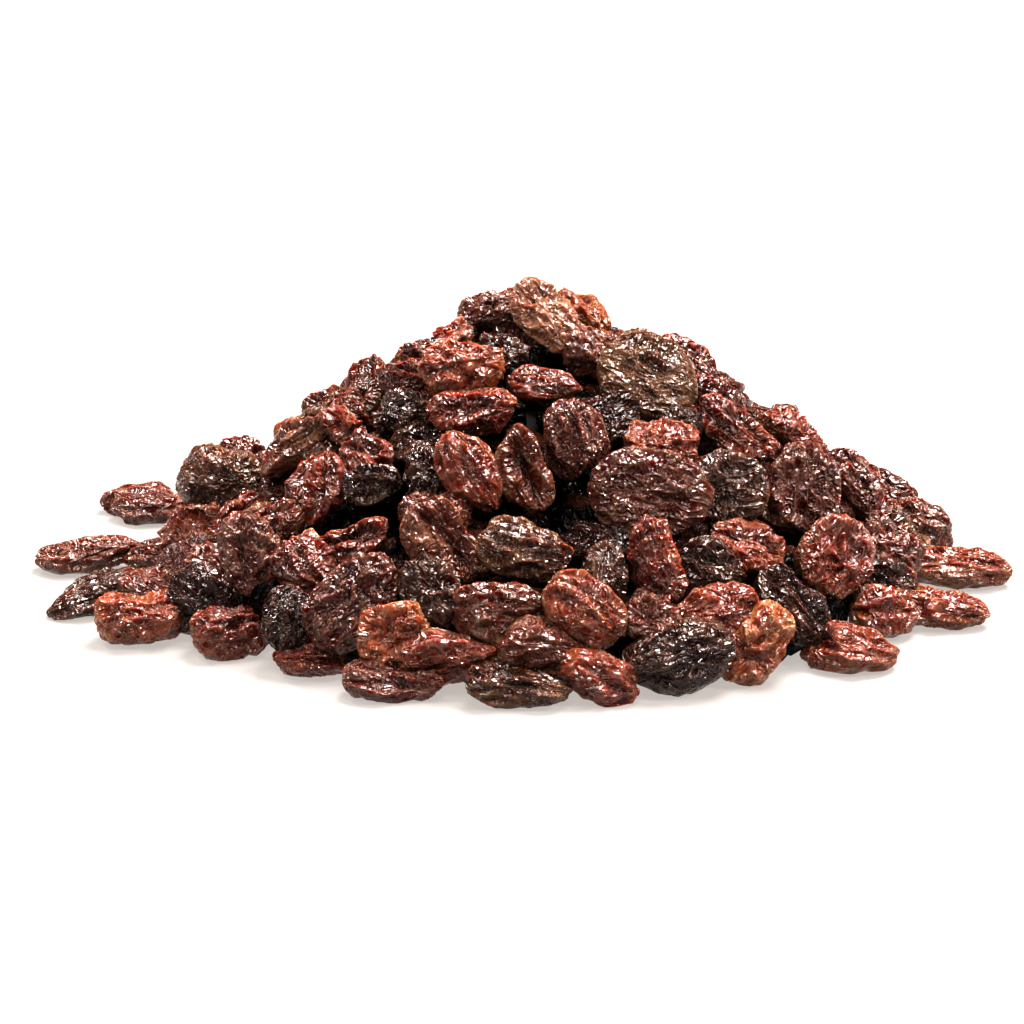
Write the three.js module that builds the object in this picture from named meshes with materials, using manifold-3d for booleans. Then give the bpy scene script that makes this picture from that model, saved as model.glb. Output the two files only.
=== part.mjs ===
// A loose heap of raisins lying on a flat surface: one fused solid with a core, a skin of raisins over it,
// and the raisins that have rolled out round its foot. Millimetres, +Z up. The origin is on the surface
// under the peak, and -Y is the front.
import * as THREE from "three";
import { mergeVertices } from "three/addons/utils/BufferGeometryUtils.js";
import Module from "manifold-3d";

const wasm = await Module();
wasm.setup();

// The heap: a cone with a rounded top. Its bed is the surface that the raisins' middles lie on.
const peakHeight = 43; // middle of the topmost raisin
const footRadius = 70;
const steepness = 1.6; // 1 is a straight cone, more is a fuller one
const narrowLeft = 1.16; // behind narrowFrom the left of the foot lies this much nearer to the middle
const narrowFrom = 0; // as a y
const roundBefore = -30; // and in front of this y the foot is round
const coreDepth = 1.8; // how far the core stays under the bed
const coreRim = 64; // radius of the core at the foot, inside the outermost raisins
const coreSides = 16;
const coreRings = 5;

// The raisins of the back and of the gaps, which a rule spreads.
const courseStep = 8.6; // along the slope, from one course of raisins to the next
const raisinStep = 12; // along a course
const clearOfOther = 8.2; // a raisin of the rule is left out nearer than this to another
const fillLong = [11, 15];
const fillWide = [0.62, 0.8]; // as a share of the length
const strayRing = 73; // loose raisins lie round the foot at this radius
const strayScatter = 9; // and this far in or out of it
const strayStep = 14;
const courseScatter = 2.5;
const touching = 1.2; // how far two raisins that touch are pressed into each other
const intoCore = 0.9; // how far each raisin of the bed is at least pressed into the core
const rolledIn = 2.9; // how far a loose raisin is at least pressed into its neighbour
const rollFrom = 32; // it rolls to one that is no farther off than this
const rollSteps = 12;
const rollAcross = [1, 0.5, 0.2]; // straight to it, or more in depth
const depthShows = 0.3; // how much of a shift in depth shows from the front
const settleRounds = 14; // raisins that lie too deep in each other are eased apart in so many rounds
const settleShare = 0.3; // and by this share of the depth in each
const alongSight = 0.65; // how much of that goes to or from the eye, where the front is placed by sight
const restShare = 0.9; // a raisin on the table lies at this share of its half height
const frontOfRule = 24; // in front of this y the placed raisins make the skin
const sunkInFront = 3; // and those of the rule lie this much deeper
const frontOfStrays = 18; // loose raisins of the rule lie behind this y
const ruleSeed = 17; // where the stream of numbers of the rule starts

// The sight line along which the placed raisins were measured: it comes down on the heap from the front.
const sightDrop = THREE.MathUtils.degToRad(17);
const sightDistance = 400;
const sightTarget = new THREE.Vector3(-3, 0, 8);
const farthest = 34; // a sight line is followed no farther back than this y

// One raisin as a solid has few sides, because the heap has so many.
const sidesRound = 6; // of a raisin placed by sight
const sidesOfRuled = 5; // and of one placed by the rule
const sidesAlong = 4;
const fewSidesSwell = 1.07; // flat sides cut a round shape short, and this makes up for it

// What makes each form. thick: thickness as a share of the width. hollow: how deep the two broad faces
// are sunk. bend: how far the ends curl sideways. taper: how much one end is slimmer. dents: how many.
const forms = {
  pod: { thick: 0.7, hollow: 0.05, bend: 0.05, taper: 0.14, dents: 5 },
  disc: { thick: 0.5, hollow: 0.4, bend: 0.04, taper: 0.04, dents: 2 },
  bean: { thick: 0.6, hollow: 0.16, bend: 0.28, taper: 0.06, dents: 4 },
  lump: { thick: 0.78, hollow: 0.1, bend: 0.1, taper: 0.08, dents: 6 },
  flat: { thick: 0.52, hollow: 0.12, bend: 0.06, taper: 0.1, dents: 5 },
  curl: { thick: 0.66, hollow: 0.3, bend: 0.42, taper: 0.02, dents: 4 },
};
const fillForms = ["pod", "lump", "flat", "pod", "disc", "bean"];

const rowSwell = 1.06; // the rows give what shows, and the whole raisin is a little larger

// The raisins of the front, one line each:
// across, up: where its middle shows, in mm from the sight target; long, wide: its size;
// turn: the slope of its length as seen, in degrees; lean: how far it is tipped from the bed to the front;
// lift: how far it stands out of the bed; then its form.
const crown = [
  [3.5, 36.7, 12, 8, -10, 0, 0, "lump"],
  [5.5, 31.7, 14.5, 8.8, -52, 30, 1, "disc"],
  [10.8, 33.5, 12.5, 8.2, -45, 20, 0, "pod"],
  [-4, 33, 11, 9.6, 10, 20, 0.5, "lump"],
  [-10, 30.3, 8.5, 6.5, 30, 10, 0, "lump"],
  [16.5, 29.7, 11, 7, -18, 0, 0, "flat"],
  [13.3, 26.3, 9, 6.5, -30, 0, 0, "lump"],
  [21.3, 21, 16, 14.5, -20, 30, 1, "disc"],
  [29.3, 24.8, 11.5, 8, -38, 10, 0, "pod"],
  [-7.8, 23.2, 15, 10.5, 3, 25, 1.5, "lump"],
  [-6.7, 16.7, 13.5, 9, 8, 25, 1, "pod"],
  [5.7, 21.8, 11.5, 8, -10, 0, 0, "flat"],
  [-15.2, 26.7, 8, 6, 20, 0, 0, "lump"],
  [-18.7, 22.3, 9.5, 7.5, 5, 10, 0, "pod"],
  [-24.7, 20.7, 13, 7, 72, 20, 0, "bean"],
  [-2, 27, 9, 6.5, 0, 0, 0, "lump"],
];
const leftFlank = [
  [-18.3, 16.3, 11, 7.5, -6, 10, 0, "lump"],
  [-16.7, 12.3, 11, 7, 5, 0, -1, "flat"],
  [-31.7, 18.3, 10.5, 7, 6, 0, 0, "flat"],
  [-27.8, 17, 8, 6, -10, 0, 0, "pod"],
  [-36, 16, 9.5, 6.5, 25, 0, 1.5, "pod"],
  [-28.2, 15, 8, 6, -25, 0, 0, "lump"],
  [-36, 11, 14, 8.5, 38, 15, 0.5, "pod"],
  [-46, 11.2, 11.5, 8, -22, 0, 0, "lump"],
  [-46.7, 3.2, 17, 11.8, -8, 20, 3, "lump"],
  [-52.8, -2.7, 12.5, 9, -30, 10, 0, "lump"],
  [-50.7, -9, 10, 7.5, -15, 0, 0, "lump"],
  [-42.7, -8.7, 13, 9.5, -68, 50, 1.5, "disc"],
  [-38.5, -1.5, 9.5, 7, 38, 10, 0, "lump"],
  [-34, -9.3, 14, 9.5, -52, 20, 0, "pod"],
  [-31.5, 3, 12.5, 7, 86, 35, 1, "pod"],
  [-34.7, 3.3, 10.5, 6, 84, 30, 0, "pod"],
  [-27.3, -4.3, 12, 7, 12, 20, 1, "curl"],
  [-23.7, 9.3, 11, 7, -25, 20, 0.5, "bean"],
  [-23, 5.5, 10.5, 7.5, -3, 0, 0, "pod"],
];
const middle = [
  [-14.5, 5.3, 10, 8, 88, 20, 0, "lump"],
  [-13, 0.5, 11, 7.5, -10, 0, 0, "lump"],
  [-11.3, -5.8, 16, 9.5, -46, 30, 1.5, "bean"],
  [-6.8, 5.7, 13.5, 9, -60, 30, 1, "pod"],
  [2.5, 6.3, 14, 7.5, -68, 30, 0.5, "curl"],
  [10.7, 10.8, 14, 9.5, -78, 35, 1, "pod"],
  [3.7, -7.3, 16.5, 10, -13, 10, 1, "pod"],
  [22, 1.3, 18.5, 13.5, -12, 35, 1.5, "disc"],
  [24.8, 11, 12.5, 8.5, -5, 15, 0, "lump"],
  [-12.8, -13.3, 11.5, 9, -60, 10, 0, "lump"],
  [-2, -16.7, 13.5, 10, 0, 10, 0, "pod"],
  [13.3, -16.5, 14.5, 9.5, -38, 20, 0, "pod"],
  [16.7, -10, 10, 7, 80, 10, 0, "pod"],
  [22.3, -9.3, 13.5, 9.5, -66, 30, 0.5, "lump"],
  [-25.8, -15.7, 17, 11.8, 35, 25, 1, "disc"],
];
const rightFlank = [
  [35, 3.3, 13.5, 12, 10, 35, 0.5, "disc"],
  [37.5, 13.7, 14, 8.5, -33, 20, 1, "bean"],
  [35, 19.3, 11.5, 7, -30, 0, 0, "pod"],
  [28.3, 15.7, 8, 6, 0, 0, 0, "lump"],
  [46.3, 13.2, 13, 9, -20, 0, 0, "lump"],
  [56.7, 5, 16, 11, -55, 10, 0, "pod"],
  [48, 3.5, 14, 11, 82, 45, 1, "disc"],
  [53.3, -8, 13, 11.5, 55, 35, 1, "disc"],
  [40, -6.2, 12.5, 8.5, -18, 10, 0.5, "bean"],
  [32.3, -10, 11, 9.5, -12, 10, 0, "pod"],
  [34, -16.7, 14.5, 9.5, 12, 10, 0.5, "pod"],
  [23.8, -17.7, 9.5, 8, -20, 0, 0, "lump"],
  [47.2, -15.5, 14.5, 9.5, -52, 20, 0, "pod"],
];
const foot = [
  [-61.2, 4.2, 13, 9, 25, 25, 0, "pod"],
  [-63, -0.5, 12.5, 9.5, 0, 25, 0, "pod"],
  [-72.7, -6.3, 17.5, 9.5, 8, 25, 0, "pod"],
  [-59.5, -8.2, 12.5, 9, 10, 25, 0, "pod"],
  [-70.7, -14.3, 16, 9, 27, 25, 0, "pod"],
  [-63.5, -17.5, 13.5, 11, 15, 25, 0, "lump"],
  [-51.3, -15.5, 12.5, 10.5, -20, 25, 0, "pod"],
  [-46, -21.5, 12.5, 10.5, 12, 25, 0, "lump"],
  [-37, -17.3, 10.5, 8.5, 80, 25, 0, "pod"],
  [-34.5, -26, 12, 8.5, 1, 25, 0, "pod"],
  [-19.3, -20, 11, 9.5, 18, 25, 0, "lump"],
  [-20.3, -29, 14.5, 8.5, -8, 25, 0, "pod"],
  [-10.8, -25.2, 15, 9, 8, 25, 0, "pod"],
  [1, -29, 15, 10.5, -5, 25, 0, "pod"],
  [6, -23.3, 13.5, 9, -3, 25, 0, "pod"],
  [14.5, -28.3, 11.5, 9, -8, 25, 0, "pod"],
  [26.7, -25.5, 17, 11, 10, 25, 0, "pod"],
  [41.3, -23.7, 15, 9, 45, 25, 0, "lump"],
  [56.3, -22.7, 14.5, 10.5, -8, 25, 0, "pod"],
  [61, -18, 12.5, 9, -3, 25, 0, "pod"],
  [63.5, -6.8, 11, 8.5, -12, 25, 0, "lump"],
  [62.7, -11.7, 10.5, 8, -15, 25, 0, "pod"],
  [71.3, -15.7, 15.5, 10, -8, 25, 0, "pod"],
  [75.8, -10.2, 17, 10.5, -8, 25, 0, "pod"],
  [70, -2.2, 12.5, 10.5, -20, 25, 0, "lump"],
  [65.3, 3.5, 12, 9, -38, 25, 0, "pod"],
];

// A stream of numbers from 0 to 1, the same each time for the same seed.
function drawFrom(seed) {
  let state = (seed * 7919 + 104729) % 2147483647;
  return () => {
    state = (state * 16807) % 2147483647;
    return state / 2147483647;
  };
}

const between = (range, share) => range[0] + (range[1] - range[0]) * share;

function smoothStep(low, high, value) {
  const t = Math.min(1, Math.max(0, (value - low) / (high - low)));
  return t * t * (3 - 2 * t);
}

// Height of the bed at a distance from the middle, and the bed's slope there.
const bedHeight = (radius) =>
  peakHeight * (1 - Math.pow(radius / footRadius, steepness));
const bedSlope = (radius) =>
  (peakHeight * steepness * Math.pow(radius / footRadius, steepness - 1)) /
  footRadius;

// How much nearer to the middle the foot lies: 1, and more at the left behind.
function narrowing(x, y) {
  const share = smoothStep(roundBefore, narrowFrom, y);
  return x < 0 ? 1 + (narrowLeft - 1) * share : 1;
}

// Height of the bed over a place on the table.
const bedAt = (x, y) => bedHeight(Math.hypot(x * narrowing(x, y), y));

function bedNormal(x, y, onTable) {
  if (onTable) return new THREE.Vector3(0, 0, 1);
  return new THREE.Vector3(
    bedAt(x - 0.5, y) - bedAt(x + 0.5, y),
    bedAt(x, y - 0.5) - bedAt(x, y + 0.5),
    1,
  ).normalize();
}

// The sight line's own axes: right, up, and towards the eye.
const sightRight = new THREE.Vector3(1, 0, 0);
const sightUp = new THREE.Vector3(0, Math.sin(sightDrop), Math.cos(sightDrop));
const toEye = new THREE.Vector3(0, -Math.cos(sightDrop), Math.sin(sightDrop));
const eye = sightTarget.clone().addScaledVector(toEye, sightDistance);

// Where the line through (across, up) first meets the bed, or the height at which a raisin lies on the
// table. A line that passes over the heap gives the point where it comes nearest.
function whereSeen(across, up, restHeight) {
  const through = sightTarget
    .clone()
    .addScaledVector(sightRight, across)
    .addScaledVector(sightUp, up);
  const ray = through.sub(eye).normalize();
  const reach = 2 * footRadius;
  const step = 0.25;
  let nearest = null;
  let least = Infinity;
  for (let t = sightDistance - reach; t < sightDistance + reach; t += step) {
    const point = eye.clone().addScaledVector(ray, t);
    if (point.y >= farthest) break;
    const bed = bedAt(point.x, point.y);
    const gap = point.z - Math.max(bed, restHeight);
    if (gap < least) {
      least = gap;
      nearest = { point, onTable: bed < restHeight };
    }
    if (gap <= 0) return nearest;
  }
  return nearest;
}

// The axes of a raisin whose broad side lies along normal and whose length shows along turn.
function axesFor(normal, turn, lean, depthShare) {
  const thin = normal.clone();
  const hinge = new THREE.Vector3().crossVectors(thin, toEye);
  if (hinge.length() > 1e-6)
    thin.applyAxisAngle(hinge.normalize(), THREE.MathUtils.degToRad(lean));
  const angle = THREE.MathUtils.degToRad(turn);
  const long = sightRight
    .clone()
    .multiplyScalar(Math.cos(angle))
    .addScaledVector(sightUp, Math.sin(angle));
  const towards = -long.dot(thin) / Math.max(0.2, toEye.dot(thin));
  long.addScaledVector(
    toEye,
    Math.min(depthShare, Math.max(-depthShare, towards)),
  );
  long.normalize();
  thin.addScaledVector(long, -thin.dot(long)).normalize();
  const wide = new THREE.Vector3().crossVectors(thin, long);
  return { long, wide, thin };
}

function placedRaisin([across, up, length, width, turn, lean, lift, form], seed) {
  const long = length * rowSwell;
  const wide = width * rowSwell;
  const halfThick = (wide * forms[form].thick) / 2;
  const { point, onTable } = whereSeen(across, up, halfThick * restShare);
  const normal = bedNormal(point.x, point.y, onTable);
  const axes = axesFor(normal, turn, lean, onTable ? 0.35 : 0.85);
  const middle = point.clone().addScaledVector(normal, onTable ? 0 : lift);
  return { middle, axes, long, wide, form, seed, onTable, bySight: true };
}

// A raisin of the rule: flat on the bed or the table, turned any way, tipped a little.
function ruledRaisin(x, y, sunk, seed) {
  const draw = drawFrom(seed);
  const form = fillForms[Math.floor(draw() * fillForms.length)];
  const long = between(fillLong, draw());
  const wide = long * between(fillWide, draw());
  const restHeight = (wide * forms[form].thick * restShare) / 2;
  const bed = bedAt(x, y);
  const onTable = bed < restHeight;
  const normal = bedNormal(x, y, onTable);
  const tip = new THREE.Vector3(draw() - 0.5, draw() - 0.5, draw() - 0.5);
  const thin = normal
    .clone()
    .addScaledVector(tip, onTable ? 0.2 : 0.9)
    .normalize();
  const side = new THREE.Vector3(draw() - 0.5, draw() - 0.5, draw() - 0.5);
  const lengthways = side.addScaledVector(thin, -side.dot(thin)).normalize();
  const across = new THREE.Vector3().crossVectors(thin, lengthways);
  const middle = new THREE.Vector3(x, y, Math.max(bed, restHeight));
  if (!onTable) middle.addScaledVector(normal, -sunk);
  const axes = { long: lengthways, wide: across, thin };
  return { middle, axes, long, wide, form, seed, onTable, bySight: false };
}

// Courses of raisins from the foot up, wherever no other lies, and loose ones behind the foot.
function addRuled(raisins) {
  const draw = drawFrom(ruleSeed);
  const tryAt = (x, y, sunk) => {
    const seed = 500 + raisins.length;
    const made = ruledRaisin(x, y, sunk, seed);
    const near = raisins.some(
      (other) => other.middle.distanceTo(made.middle) < clearOfOther,
    );
    if (!near) raisins.push(made);
  };
  const ring = (radius, step, scatter) => {
    const count = Math.max(1, Math.round((2 * Math.PI * radius) / step));
    const start = draw();
    for (let i = 0; i < count; i++) {
      const azimuth = (2 * Math.PI * (i + start + 0.3 * (draw() - 0.5))) / count;
      const out = radius + scatter * (draw() - 0.5);
      const y = out * Math.sin(azimuth);
      const x = out * Math.cos(azimuth);
      const sunk = y < frontOfRule ? sunkInFront : draw();
      if (radius < footRadius || y > frontOfStrays) {
        tryAt(x / narrowing(x, y), y, sunk);
      }
    }
  };
  let radius = footRadius - 3;
  while (radius > courseStep / 2) {
    ring(radius, raisinStep, courseScatter);
    radius -= courseStep / Math.hypot(1, bedSlope(radius));
  }
  ring(0.1, raisinStep, 0);
  ring(strayRing, strayStep, strayScatter);
}

// How far a raisin reaches from its middle in a direction.
function reachOf(raisin, direction) {
  const { long, wide, thin } = raisin.axes;
  const thick = raisin.wide * forms[raisin.form].thick;
  return (
    0.5 /
    Math.hypot(
      direction.dot(long) / raisin.long,
      direction.dot(wide) / raisin.wide,
      direction.dot(thin) / thick,
    )
  );
}

// Half the height of a raisin, tipped as it lies.
function halfHeight({ axes, long, wide, form }) {
  const thick = wide * forms[form].thick;
  return (
    Math.hypot(long * axes.long.z, wide * axes.wide.z, thick * axes.thin.z) / 2
  );
}

// Raisins that lie too deep in each other move apart along the line between their middles, and where the
// front is placed by sight also along the sight line. None goes below its height on the table.
function settle(raisins) {
  for (let round = 0; round < settleRounds; round++) {
    const moves = raisins.map(() => new THREE.Vector3());
    raisins.forEach((one, i) => {
      for (let j = i + 1; j < raisins.length; j++) {
        const other = raisins[j];
        const line = other.middle.clone().sub(one.middle);
        const distance = line.length();
        line.normalize();
        const reach = reachOf(one, line) + reachOf(other, line);
        const deep = reach - touching - distance;
        if (deep <= 0) continue;
        const push = line.clone();
        if (one.bySight || other.bySight) {
          const side = line.dot(toEye) < 0 ? -1 : 1;
          push
            .multiplyScalar(1 - alongSight)
            .addScaledVector(toEye, side * alongSight);
        }
        moves[i].addScaledVector(push, -deep * settleShare);
        moves[j].addScaledVector(push, deep * settleShare);
      }
    });
    raisins.forEach((raisin, i) => {
      if (raisin.onTable) moves[i].z = 0;
      raisin.middle.add(moves[i]);
      const lowest = halfHeight(raisin) * restShare;
      raisin.middle.z = Math.max(raisin.middle.z, lowest);
    });
  }
}

// A raisin of the bed that hardly reaches the core is pressed down until it does.
function pressIn(raisin) {
  const { x, y } = raisin.middle;
  const normal = bedNormal(x, y, false);
  const bed = new THREE.Vector3(x, y, bedAt(x, y));
  const depths = skinCorners(raisin).map((corner) =>
    bed.clone().sub(corner).dot(normal),
  );
  const short = coreDepth + intoCore - Math.max(...depths);
  if (short > 0) raisin.middle.addScaledVector(normal, -short);
}

const beyondCore = ({ middle: { x, y } }) =>
  Math.hypot(x * narrowing(x, y), y) > coreRim - 1;

// A raisin rolls over the table until it is pressed into another: how far that shows from the front, and
// where it ends.
function rolledTo(raisin, other, across) {
  const middle = raisin.middle.clone();
  let gap = Infinity;
  for (let step = 0; step < rollSteps; step++) {
    const line = other.middle.clone().sub(middle);
    const distance = line.length();
    line.normalize();
    gap = distance - reachOf(raisin, line) - reachOf(other, line) + rolledIn;
    if (gap < 0.01) break;
    const way = new THREE.Vector3(line.x * across, line.y, 0).normalize();
    middle.addScaledVector(way, gap);
  }
  const shift = middle.clone().sub(raisin.middle);
  const shown = Math.hypot(shift.x, shift.y * depthShows);
  return { shown: gap < 0.5 ? shown : Infinity, middle };
}

// Raisins beyond the core join the heap one by one, the one that has to roll least first.
function snuggle(raisins) {
  const loose = new Set(raisins.filter(beyondCore));
  const rolls = new Map();
  const offer = (raisin, other) => {
    if (other.middle.distanceTo(raisin.middle) > rollFrom) return;
    for (const across of rollAcross) {
      const roll = rolledTo(raisin, other, across);
      if (roll.shown < (rolls.get(raisin)?.shown ?? Infinity)) {
        rolls.set(raisin, roll);
      }
    }
  };
  for (const other of raisins.filter((raisin) => !loose.has(raisin))) {
    for (const raisin of loose) offer(raisin, other);
  }
  while (loose.size > 0) {
    const shownBy = (raisin) => rolls.get(raisin)?.shown ?? Infinity;
    const next = [...loose].reduce((one, other) =>
      shownBy(other) < shownBy(one) ? other : one,
    );
    next.middle.copy(rolls.get(next).middle);
    loose.delete(next);
    for (const raisin of loose) offer(raisin, next);
  }
}

// The point of a raisin's skin in a direction from its middle, in its own axes: an ellipsoid with broad
// dents, sunk faces, a slimmer end and a bend.
function skinPoint(direction, raisin, dents) {
  const { hollow, bend, taper, thick } = forms[raisin.form];
  let out = 1;
  for (const dent of dents) {
    out -= dent.depth * smoothStep(dent.edge, 1, direction.dot(dent.at));
  }
  out -= hollow * smoothStep(0.35, 1, Math.abs(direction.z));
  const x = direction.x * out;
  const slim = 1 - taper * x;
  const y = direction.y * out * slim + bend * (x * x - 0.4);
  const z = direction.z * out * slim;
  return new THREE.Vector3(
    (x * raisin.long) / 2,
    (y * raisin.wide) / 2,
    (z * raisin.wide * thick) / 2,
  );
}

function dentsOf(raisin) {
  const draw = drawFrom(raisin.seed + 9000);
  return Array.from({ length: forms[raisin.form].dents }, () => {
    const z = 2 * draw() - 1;
    const azimuth = 2 * Math.PI * draw();
    const flat = Math.sqrt(1 - z * z);
    return {
      at: new THREE.Vector3(
        flat * Math.cos(azimuth),
        flat * Math.sin(azimuth),
        z,
      ),
      depth: 0.08 + 0.2 * draw(),
      edge: 0.35 + 0.35 * draw(),
    };
  });
}

function solidOf(geometry) {
  geometry.deleteAttribute("normal");
  geometry.deleteAttribute("uv");
  const merged = mergeVertices(geometry, 1e-4);
  return new wasm.Manifold(
    new wasm.Mesh({
      numProp: 3,
      vertProperties: merged.attributes.position.array,
      triVerts: new Uint32Array(merged.index.array),
    }),
  );
}

function fewSidedBall({ bySight }) {
  const around = bySight ? sidesRound : sidesOfRuled;
  const ball = new THREE.SphereGeometry(1, around, sidesAlong);
  return ball.rotateZ(-Math.PI / 2);
}

// The corners of a raisin's few-sided skin, in its place.
function skinCorners(raisin) {
  const dents = dentsOf(raisin);
  const { long, wide, thin } = raisin.axes;
  const place = new THREE.Matrix4().makeBasis(long, wide, thin);
  place.setPosition(raisin.middle);
  const position = fewSidedBall(raisin).attributes.position;
  return Array.from({ length: position.count }, (_, i) => {
    const direction = new THREE.Vector3().fromBufferAttribute(position, i);
    return skinPoint(direction.normalize(), raisin, dents)
      .multiplyScalar(fewSidesSwell)
      .applyMatrix4(place);
  });
}

// One raisin in its place. What would be under the surface it lies on is pressed flat.
function raisinSolid(raisin) {
  const geometry = fewSidedBall(raisin);
  skinCorners(raisin).forEach((corner, i) => {
    const height = Math.max(0, corner.z);
    geometry.attributes.position.setXYZ(i, corner.x, corner.y, height);
  });
  return solidOf(geometry);
}

// The core: the bed's curve, lowered, turned about the upright axis, closed flat underneath, and narrowed
// where the bed is.
function coreSolid() {
  const outline = [new THREE.Vector2(0, 0), new THREE.Vector2(coreRim, 0)];
  for (let i = 0; i < coreRings; i++) {
    const radius = coreRim * (1 - i / coreRings);
    const height = bedHeight(radius) - coreDepth;
    if (height > 0.5) outline.push(new THREE.Vector2(radius, height));
  }
  outline.push(new THREE.Vector2(0, peakHeight - coreDepth));
  const geometry = new THREE.LatheGeometry(outline, coreSides);
  geometry.rotateX(Math.PI / 2);
  const position = geometry.attributes.position;
  for (let i = 0; i < position.count; i++) {
    const x = position.getX(i);
    position.setX(i, x / narrowing(x, position.getY(i)));
  }
  return solidOf(geometry);
}

function geometryOf(solid) {
  const mesh = solid.getMesh();
  const geometry = new THREE.BufferGeometry();
  geometry.setAttribute(
    "position",
    new THREE.BufferAttribute(mesh.vertProperties, mesh.numProp),
  );
  geometry.setIndex(new THREE.BufferAttribute(mesh.triVerts, 1));
  return geometry;
}

const raisins = [crown, leftFlank, middle, rightFlank, foot]
  .flat()
  .map((row, i) => placedRaisin(row, i + 1));
addRuled(raisins);
settle(raisins);
raisins.filter((raisin) => !raisin.onTable).forEach(pressIn);
snuggle(raisins);

let heapSolid = coreSolid();
for (const raisin of raisins) heapSolid = heapSolid.add(raisinSolid(raisin));

const skin = new THREE.MeshStandardMaterial({
  color: 0x4a1d12,
  roughness: 0.38,
  metalness: 0,
});
const heap = new THREE.Mesh(geometryOf(heapSolid), skin);
heap.name = "raisin_heap";

const part = new THREE.Group();
part.add(heap);
export default part;
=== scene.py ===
import math

import bpy
import numpy as np
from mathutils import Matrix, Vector


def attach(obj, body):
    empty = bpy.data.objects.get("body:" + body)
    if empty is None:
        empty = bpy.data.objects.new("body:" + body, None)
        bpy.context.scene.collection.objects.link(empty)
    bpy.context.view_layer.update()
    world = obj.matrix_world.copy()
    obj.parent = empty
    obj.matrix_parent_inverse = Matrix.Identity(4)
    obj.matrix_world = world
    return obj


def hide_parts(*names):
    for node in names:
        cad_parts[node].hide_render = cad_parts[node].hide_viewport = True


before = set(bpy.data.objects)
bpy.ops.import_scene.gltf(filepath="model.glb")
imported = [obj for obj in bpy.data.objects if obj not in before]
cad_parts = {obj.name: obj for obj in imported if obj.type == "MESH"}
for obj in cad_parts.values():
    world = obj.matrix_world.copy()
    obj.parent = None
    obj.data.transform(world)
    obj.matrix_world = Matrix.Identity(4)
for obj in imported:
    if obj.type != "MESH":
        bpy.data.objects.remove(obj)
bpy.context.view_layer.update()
mm = 0.001  # sizes below are in millimetres, as the heap was measured

# The heap. Its bed is the surface that the middles of the outer raisins lie on.
heap = dict(
    peakHeight=43,
    footRadius=70,
    steepness=1.6,  # 1 is a straight cone, more is a fuller one
    narrowLeft=1.16,  # behind narrowFrom the left of the foot lies this much nearer to the middle
    narrowFrom=0,
    roundBefore=-30,  # before this y it is quite round
    coreDepth=1.8,  # how far the solid's core lies below the bed
    coreRim=64,
    rimMargin=1,
    intoCore=0.9,  # each raisin of the bed reaches at least so far below the solid's core
    courseStep=8.6,  # along the slope, from one course of ruled raisins to the next
    raisinStep=12,  # along a course
    courseScatter=2.5,
    ringScatter=0.3,  # along a course, as a share of a step
    belowFoot=3,  # the first course lies so far within the foot
    clearOfOther=8.2,  # a ruled raisin's middle is at least so far from any other's
    fillLong=(11, 15),
    fillWide=(0.62, 0.8),
    tipOnTable=0.2,
    tipOnBed=0.9,
    frontOfRule=24,  # before this y the rule only fills gaps, deeper down
    sunkInFront=3,
    # painted shade: the sunk raisins in the front gaps take the near-black shade tone
    toneInGaps="shade",
    frontWedge=0.65,  # the gaps are dark in front: where -y is more than this times the distance aside
    strayRing=73,
    frontOfStrays=18,
    strayScatter=9,
    strayStep=14,
    touching=1.2,  # how far two raisins that touch are pressed into each other
    settleRounds=14,
    settleShare=0.3,
    alongSight=0.65,  # share of a push that goes along the sight line, where it does not show
    restShare=0.9,
    rolledIn=2.9,  # how far a rolled raisin is pressed into its neighbour
    rollSteps=12,
    rollAcross=(1, 0.5, 0.2),
    rollFrom=32,
    rollDone=0.01,
    rollMissed=0.5,
    depthShows=0.3,  # share of a shift in depth that shows in the picture
    rowSwell=1.06,  # the rows give what shows, and the whole raisin is a little larger
    fewSidesSwell=1.07,
    depthOnTable=0.35,  # how far a raisin's length may turn towards the eye
    depthOnBed=0.85,
    leastFacing=0.2,
    drawnSize=0.95,  # the raisins are drawn a little smaller than they are laid, which opens gaps
    pushedBack=0.6,  # share of a flattened raisin's lowering that is made up for by pushing it back
)

# Where each stream of draws begins. Each raisin adds its own number.
seeds = dict(rule=17, ruled=500, dents=9000, wrinkles=4000, beneath=77, ruledBeneath=2000, slopes=3,
             shuffle=4)

# The line of sight along which the raisins of the front were measured.
sight = dict(drop=math.radians(17), distance=400, target=(-3, 0, 8), pixelsPerMm=6, picture=1024,
             step=0.25, farthest=34)  # a line is followed in such steps, no farther back than this y

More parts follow.
